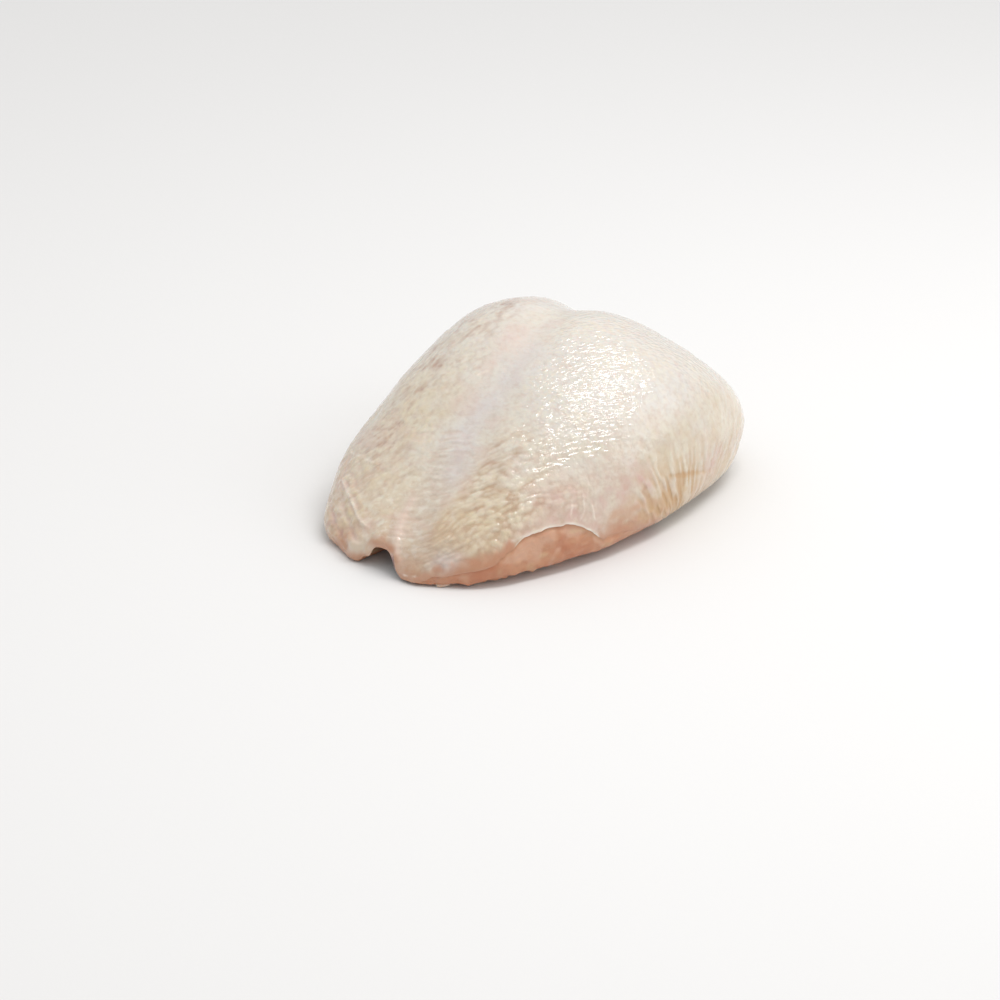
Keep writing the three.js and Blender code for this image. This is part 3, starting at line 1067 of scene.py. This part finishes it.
def add_node(tree, kind, inputs=(), **settings):
    """A new shader node with those settings and inputs."""
    node = tree.nodes.new("ShaderNode" + kind)
    for name, value in settings.items():
        setattr(node, name, value)
    return fill(tree, node, inputs)


def map_range(tree, value, low, high, to_low=0, to_high=1):
    """Value mapped from low..high to to_low..to_high."""
    ends = {"From Min": low, "From Max": high, "To Min": to_low, "To Max": to_high}
    return add_node(tree, "MapRange", {"Value": value, **ends}).outputs[0]


class Finish:
    """A procedural material: a principled surface, and short calls for the nodes that feed it."""

    def __init__(self, name):
        self.material = bpy.data.materials.new(name)
        self.material.use_nodes = True
        self.tree = self.material.node_tree
        self.tree.nodes.clear()
        self.surface = self.node("BsdfPrincipled")
        self.node("OutputMaterial", {"Surface": self.surface.outputs[0]})
        self.place = self.node("TexCoord").outputs["Object"]

    def node(self, kind, inputs=(), **settings):
        return add_node(self.tree, kind, inputs, **settings)

    def feed(self, **inputs):
        """Feeds the surface, whose inputs go by their names with a low line for each space."""
        fill(self.tree, self.surface, {key.replace("_", " "): v for key, v in inputs.items()})

    def mask(self, name):
        return self.node("Attribute", attribute_name=name).outputs["Fac"]

    def stretched(self, stretch, turn=0):
        """The place on the piece, for a pattern stretched along X, Y and Z and turned about Z."""
        inputs = {"Scale": stretch, "Rotation": (0, 0, math.radians(turn)), "Vector": self.place}
        return self.node("Mapping", inputs, vector_type="TEXTURE").outputs[0]

    def noise(self, scale, detail=3, stretch=(1, 1, 1)):
        """Noise from 0 to 1, with scale in waves per metre."""
        inputs = {"Scale": scale, "Detail": detail, "Vector": self.stretched(stretch)}
        return self.node("TexNoise", inputs).outputs["Fac"]

    def cells(self, scale, stretch, turn):
        """Small domes side by side, with scale in domes per metre: 0 at their tops."""
        inputs = {"Scale": scale, "Smoothness": 0.5, "Vector": self.stretched(stretch, turn)}
        return self.node("TexVoronoi", inputs, feature="SMOOTH_F1").outputs["Distance"]

    def patchy(self, scale, detail, low, high, to_low, to_high, stretch=(1, 1, 1)):
        """Noise mapped from low..high to to_low..to_high."""
        return map_range(self.tree, self.noise(scale, detail, stretch), low, high, to_low, to_high)

    def times(self, a, b):
        """Product of two values, kept from 0 to 1."""
        return self.node("Math", {0: a, 1: b}, operation="MULTIPLY", use_clamp=True).outputs[0]

    def layers(self, colours, ground, table):
        """The ground colour with the layers of a table over it."""
        colour = (*getattr(colours, ground), 1)
        for mask, share, name in table:
            if isinstance(share, tuple):
                share = self.patchy(*share)
            if mask:
                share = self.times(self.mask(mask), share)
            inputs = {MIX_SHARE: share, MIX_A: colour, MIX_B: (*getattr(colours, name), 1)}
            mix = self.node("Mix", inputs, data_type="RGBA", clamp_factor=True)
            colour = mix.outputs[MIX_RESULT]
        return colour

    def bump(self, height, distance, **finer):
        """Normals of a height from 0 to 1 times distance, over a finer Normal if one is given."""
        inputs = {"Strength": 1, "Distance": distance, "Height": height, **finer}
        return self.node("Bump", inputs).outputs[0]

    def wet(self, roughness, coat, coat_roughness, depth, weight):
        """Moist flesh: light goes in by depth, and a film of water lies on top."""
        rough = (roughness - ROUGHNESS_SWING, roughness + ROUGHNESS_SWING)
        self.feed(Roughness=self.patchy(420, 2, 0.3, 0.7, *rough), IOR=WATER_IOR)
        self.feed(Coat_Weight=coat, Coat_Roughness=coat_roughness, Coat_IOR=FILM_IOR)
        self.feed(Subsurface_Weight=weight, Subsurface_Radius=FLESH_RADIUS, Subsurface_Scale=depth)


def skin_material(colours):
    """Wet cream skin: pale bumps, brownish rows between them, and flesh where it is thin."""
    f = Finish("wet_skin")
    f.wet(roughness=0.45, coat=1, coat_roughness=0.07, depth=0.0011, weight=0.2)
    grain = f.bump(f.noise(1100), 0.00006)
    fine = f.bump(f.noise(420, 3, (1, 0.7, 1)), 0.00018, Normal=grain)
    glints = f.times(f.cells(520, (3.2, 1, 1), 57), f.mask("fine"))
    f.feed(Base_Color=f.layers(colours, "cream", SKIN_LAYERS), Normal=fine)
    f.feed(Coat_Normal=f.bump(glints, -0.00085, Normal=fine))
    return f.material


def meat_material(colours):
    """Raw pink breast meat, a thin film, fat in the seams, painted dark shade in the hollow."""
    f = Finish("raw_meat")
    f.wet(roughness=0.4, coat=0.6, coat_roughness=0.15, depth=0.0022, weight=0.35)
    strands = f.bump(f.noise(900, 3, (1, 7, 1)), 0.00025)
    f.feed(Base_Color=f.layers(colours, "meat", MEAT_LAYERS))
    f.feed(Normal=f.bump(f.noise(260), 0.0004, Normal=strands))
    return f.material


def trimmings_material(colours):
    """Soft pale fat that turns to pink meat."""
    f = Finish("soft_fat")
    f.wet(roughness=0.36, coat=0.4, coat_roughness=0.15, depth=0.0025, weight=0.4)
    f.feed(Base_Color=f.layers(colours, "film", TRIMMINGS_LAYERS))
    f.feed(Normal=f.bump(f.noise(700), 0.00025))
    return f.material


def floor_material(colours):
    """Matt pale studio paper."""
    f = Finish("studio_floor")
    f.feed(Base_Color=(*colours.floor, 1), Roughness=0.9, Specular_IOR_Level=0.1)
    f.feed(Normal=f.bump(f.noise(300, 2), 0.00005))
    return f.material


# --- what a user can change


def colour_property(name, words, shade):
    return FloatVectorProperty(
        name=name, description=words, default=linear(*shade), subtype="COLOR", min=0, max=1
    )


class TurkeyBreastColours(bpy.types.PropertyGroup):
    cream: colour_property("Cream", "Skin between the patches", (212, 203, 186))
    veil: colour_property("Veil", "Milky grey skin", (213, 207, 198))
    milk: colour_property("Milk", "Pale grey skin on top of the right lobe", (208, 203, 198))
    # Painted warm light from below and painted shade, low on the sides.
    warm_bounce_and_shade: colour_property("Warm", "Yellower skin low on the sides", (205, 184, 155))
    # Partly painted light on the tops of the bumps.
    dome: colour_property("Dome", "Pale tops of the bumps", (220, 213, 197))
    # Mostly painted shade between the bumps and low at the tail, also random brownish mottling.
    shade: colour_property("Shade", "Brownish skin between the bumps", (176, 144, 117))
    fat: colour_property("Fat", "Yellow fat under the skin", (214, 195, 152))
    # Also a painted reflection along the far left rim.
    lavender_and_rim_reflection: colour_property("Lavender", "Bluish skin over the keel", (203, 195, 198))
    peach: colour_property("Peach", "Warm pink patches", (218, 193, 177))
    blush: colour_property("Blush", "Pink where the meat shows through", (203, 168, 156))
    # Painted shade in the creases low on the right, over yellowish fat.
    gold: colour_property("Gold", "Yellow-brown creases low on the right", (190, 150, 100))
    spot: colour_property("Spots", "Brown feather pits", (170, 134, 116))
    film: colour_property("Film", "Thin film over the meat", (192, 146, 112))
    # On the skin's lip and crests, partly a painted highlight.
    lip: colour_property("Lip", "Edge of the skin and pale scraps", (240, 232, 218))
    meat: colour_property("Meat", "Raw meat", (186, 128, 92))
    meat_pale: colour_property("Pale meat", "Pale strands of the meat", (203, 155, 118))
    meat_rosy: colour_property("Rosy meat", "Redder patches of the meat", (180, 112, 76))
    meat_veil: colour_property("Veiled meat", "Milky film on the bare meat", (204, 161, 134))
    # Pink skin darkened with painted shade.
    wall: colour_property("Hollow wall", "Thin pink skin beside the hollow", (150, 100, 94))
    tip: colour_property("Tail tip", "Milky soft lump at the tail", (212, 199, 178))
    # Painted shade: near black where the hollow lies in shadow.
    hollow: colour_property("Hollow", "Meat deep in the hollow", (48, 12, 7))
    floor: colour_property("Floor", "Studio floor", (228, 227, 226))


class TurkeyBreastStudio(bpy.types.PropertyGroup):
    floor_size: FloatProperty(
        name="Floor size", description="Side of the floor", default=24, min=4, unit="LENGTH"
    )
    key_power: FloatProperty(
        name="Key light", description="Power of the overhead light", default=6.5, unit="POWER"
    )
    side_power: FloatProperty(
        name="Side light", description="Power of the light at the right", default=3.5, unit="POWER"
    )
    sky: FloatVectorProperty(
        name="Sky",
        description="Strength of the light low in front and high behind",
        size=2,
        default=(0.46, 0.98),
        min=0,
    )
    lens: FloatProperty(
        name="Lens", description="Focal length of the camera", default=109.98, unit="CAMERA", min=20
    )


# --- operators


@functools.cache
def chart_of_form():
    """The chart of the form, made once for all the pieces."""
    return Chart()


def settle(piece):
    """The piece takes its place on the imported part."""
    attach(piece, BODY)
    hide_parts(NODE)


class TURKEY_OT_skin(bpy.types.Operator):
    """Lay the skin over both lobes"""

    bl_idname = "turkey_breast.skin"
    bl_label = "Skin"

    def execute(self, context):
        material = skin_material(context.scene.turkey_breast_colours)
        settle(make_piece("skin", *build_skin(chart_of_form(), Spread()), material))
        return {"FINISHED"}


class TURKEY_OT_meat(bpy.types.Operator):
    """Build the bare meat below and under the skin"""

    bl_idname = "turkey_breast.meat"
    bl_label = "Meat"

    def execute(self, context):
        material = meat_material(context.scene.turkey_breast_colours)
        settle(make_piece("meat", *build_meat(chart_of_form()), material))
        return {"FINISHED"}


class TURKEY_OT_trimmings(bpy.types.Operator):
    """Add the tags of fat and meat along the lower edge"""

    bl_idname = "turkey_breast.trimmings"
    bl_label = "Trimmings"

    def execute(self, context):
        material = trimmings_material(context.scene.turkey_breast_colours)
        settle(make_piece("trimmings", *build_trimmings(chart_of_form()), material))
        return {"FINISHED"}


# The studio, in metres and degrees.
CAMERA_PLACE = (0.86738, -1.34904, 0.828)
CAMERA_TURN = 33.42
CAMERA_TILT = 62.53
CAMERA_ROLL = 1.7
CAMERA_FAR = 100
KEY_PLACE = (0.38, 0.18, 1.18)
KEY_SIZE = (0.25, 0.95)
KEY_SPIN = 38
SIDE_PLACE = (1.5, 0.75, 0.95)
SIDE_SIZE = (1.3, 1.1)
LIGHTS_AIM = (0, 0, 0.05)
SKY_BRIGHTEST = (0.05, 0.25, 0.97)
SKY_RANGE = (-0.3, 0.9)  # from low in front to high behind, as the share that faces the brightest


def area_light(name, place, size, power, spin=0):
    """A soft rectangular light aimed at the piece, spun about its own axis in degrees."""
    light = bpy.data.lights.new(name, "AREA")
    light.shape = "RECTANGLE"
    light.size, light.size_y = size
    light.energy = power
    lamp = bpy.data.objects.new(name, light)
    aim = Vector(LIGHTS_AIM) - Vector(place)
    facing = aim.to_track_quat("-Z", "Y").to_matrix().to_4x4()
    spun = Matrix.Rotation(math.radians(spin), 4, "Z")
    lamp.matrix_world = Matrix.Translation(place) @ facing @ spun
    bpy.context.scene.collection.objects.link(lamp)


class TURKEY_OT_studio(bpy.types.Operator):
    """Set up the floor, the lights and the camera"""

    bl_idname = "turkey_breast.studio"
    bl_label = "Studio"

    def execute(self, context):
        scene = context.scene
        studio = scene.turkey_breast_studio
        half = studio.floor_size / 2
        corners = [(-half, -half, 0), (half, -half, 0), (half, half, 0), (-half, half, 0)]
        mesh = bpy.data.meshes.new("floor")
        mesh.from_pydata(corners, [], [(0, 1, 2, 3)])
        mesh.materials.append(floor_material(scene.turkey_breast_colours))
        floor = bpy.data.objects.new("floor", mesh)
        scene.collection.objects.link(floor)
        area_light("key", KEY_PLACE, KEY_SIZE, studio.key_power, KEY_SPIN)
        area_light("side", SIDE_PLACE, SIDE_SIZE, studio.side_power)

        world = bpy.data.worlds.new("sky")
        world.use_nodes = True
        tree = world.node_tree
        way = add_node(tree, "TexCoord").outputs["Generated"]
        facing = add_node(tree, "VectorMath", {0: way, 1: SKY_BRIGHTEST}, operation="DOT_PRODUCT")
        strength = map_range(tree, facing.outputs["Value"], *SKY_RANGE, *studio.sky)
        fill(tree, tree.nodes["Background"], {"Strength": strength, "Color": (1, 1, 1, 1)})
        scene.world = world
        scene.view_settings.view_transform = "Standard"

        camera = bpy.data.cameras.new("camera")
        camera.lens = studio.lens
        camera.clip_end = CAMERA_FAR
        holder = bpy.data.objects.new("camera", camera)
        turn = Matrix.Rotation(math.radians(CAMERA_TURN), 4, "Z")
        tilt = Matrix.Rotation(math.radians(CAMERA_TILT), 4, "X")
        roll = Matrix.Rotation(math.radians(CAMERA_ROLL), 4, "Z")
        holder.matrix_world = Matrix.Translation(CAMERA_PLACE) @ turn @ tilt @ roll
        scene.collection.objects.link(holder)
        scene.camera = holder
        return {"FINISHED"}


class TURKEY_PT_build(bpy.types.Panel):
    """Builds the turkey breast piece by piece"""

    bl_label = "Turkey Breast"
    bl_idname = "TURKEY_PT_build"
    bl_space_type = "VIEW_3D"
    bl_region_type = "UI"
    bl_category = "Turkey Breast"

    def draw(self, context):
        layout = self.layout
        for operator in OPERATORS:
            layout.operator(operator.bl_idname)
        for group in (context.scene.turkey_breast_colours, context.scene.turkey_breast_studio):
            box = layout.box()
            for name in type(group).__annotations__:
                box.prop(group, name)


OPERATORS = (TURKEY_OT_skin, TURKEY_OT_meat, TURKEY_OT_trimmings, TURKEY_OT_studio)
CLASSES = (TurkeyBreastColours, TurkeyBreastStudio, *OPERATORS, TURKEY_PT_build)


def register():
    for each in CLASSES:
        bpy.utils.register_class(each)
    bpy.types.Scene.turkey_breast_colours = PointerProperty(type=TurkeyBreastColours)
    bpy.types.Scene.turkey_breast_studio = PointerProperty(type=TurkeyBreastStudio)


def unregister():
    del bpy.types.Scene.turkey_breast_studio
    del bpy.types.Scene.turkey_breast_colours
    for each in reversed(CLASSES):
        bpy.utils.unregister_class(each)


def main():
    register()
    bpy.ops.turkey_breast.skin()
    bpy.ops.turkey_breast.meat()
    bpy.ops.turkey_breast.trimmings()
    bpy.ops.turkey_breast.studio()
    bpy.context.view_layer.update()


if __name__ == "__main__":
    main()
